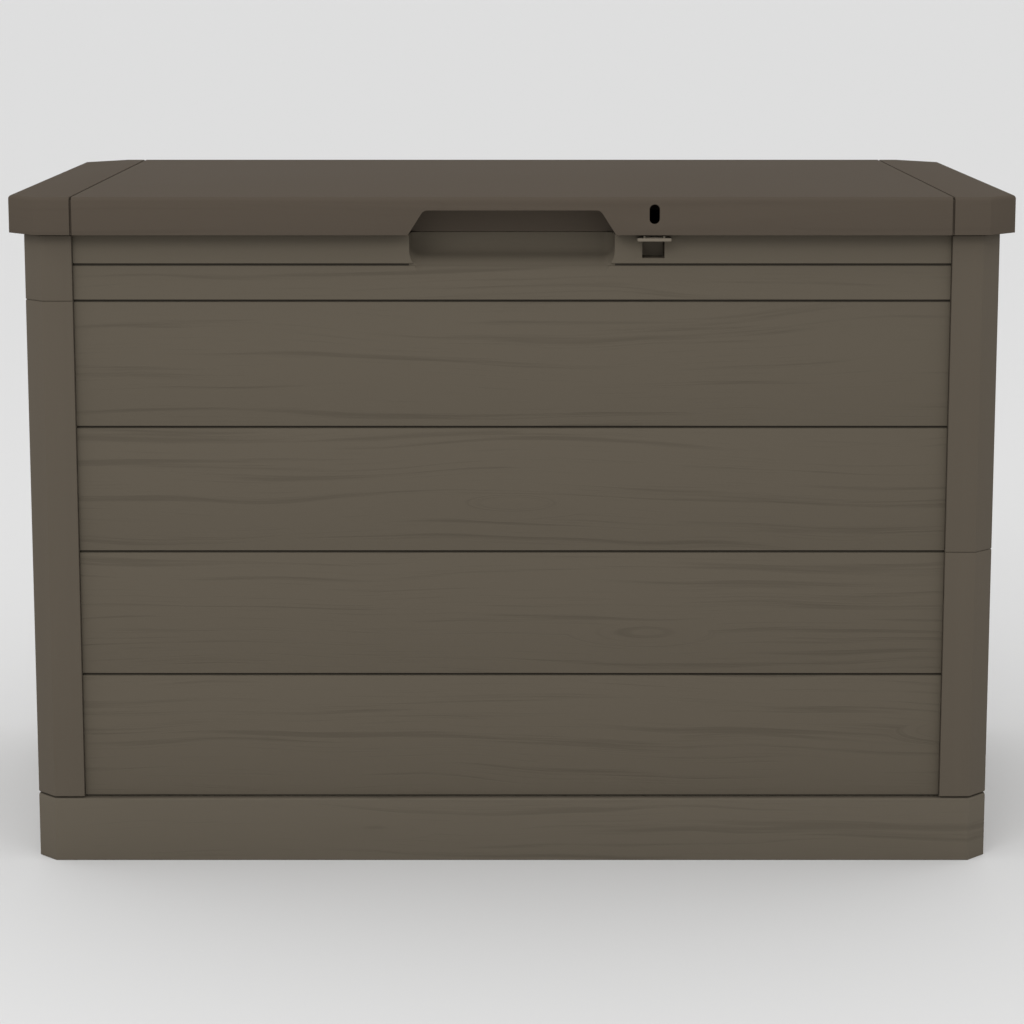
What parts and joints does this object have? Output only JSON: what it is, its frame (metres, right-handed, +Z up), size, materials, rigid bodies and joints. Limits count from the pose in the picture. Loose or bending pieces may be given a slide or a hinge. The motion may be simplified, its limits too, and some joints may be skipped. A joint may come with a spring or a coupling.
{
  "type": "deck storage box",
  "caption": "Lidded resin deck box with moulded plank walls, corner posts, base tray, top-hinged lid, front finger scoop and padlock staple",
  "frame": {"origin": "on the ground under the middle of the lid", "axes": "+X to the right seen from the front, +Y to the rear, +Z up"},
  "size_m": [0.775, 0.445, 0.527],
  "materials": {
    "wall_resin": "embossed wood grain, matte",
    "post_resin": "smooth satin moulding",
    "base_resin": "faint wood grain, matte",
    "lid_resin": "smooth satin moulding",
    "hinge_resin": "smooth moulding",
    "staple_resin": "smooth moulding",
    "pin_steel": "zinc-plated steel",
    "screw_steel": "zinc-plated steel"
  },
  "bodies": {
    "box": {"base_tray": "base_resin", "front_panel": "wall_resin", "rear_panel": "wall_resin", "left_panel": "wall_resin", "right_panel": "wall_resin", "padlock_staple": "staple_resin", "staple_screw": "screw_steel", "bracket_screws": "screw_steel", "hinge_bracket_left": "hinge_resin", "hinge_pin_left": "pin_steel", "hinge_bracket_right": "hinge_resin", "hinge_pin_right": "pin_steel", "post_front_left_lower": "post_resin", "post_front_left_upper": "post_resin", "post_front_right_lower": "post_resin", "post_front_right_upper": "post_resin", "post_rear_left_lower": "post_resin", "post_rear_left_upper": "post_resin", "post_rear_right_lower": "post_resin", "post_rear_right_upper": "post_resin"},
    "lid": {"lid_deck": "lid_resin", "lid_cap_left": "lid_resin", "lid_cap_right": "lid_resin", "leaf_screws": "screw_steel", "hinge_leaf_left": "hinge_resin", "hinge_leaf_right": "hinge_resin"}
  },
  "joints": [
    {"name": "lid_hinge", "type": "hinge", "parent": "box", "child": "lid", "pos_m": [0, 0.21, 0.498], "axis": [-1, 0, 0], "range_deg": [0, 100]}
  ]
}
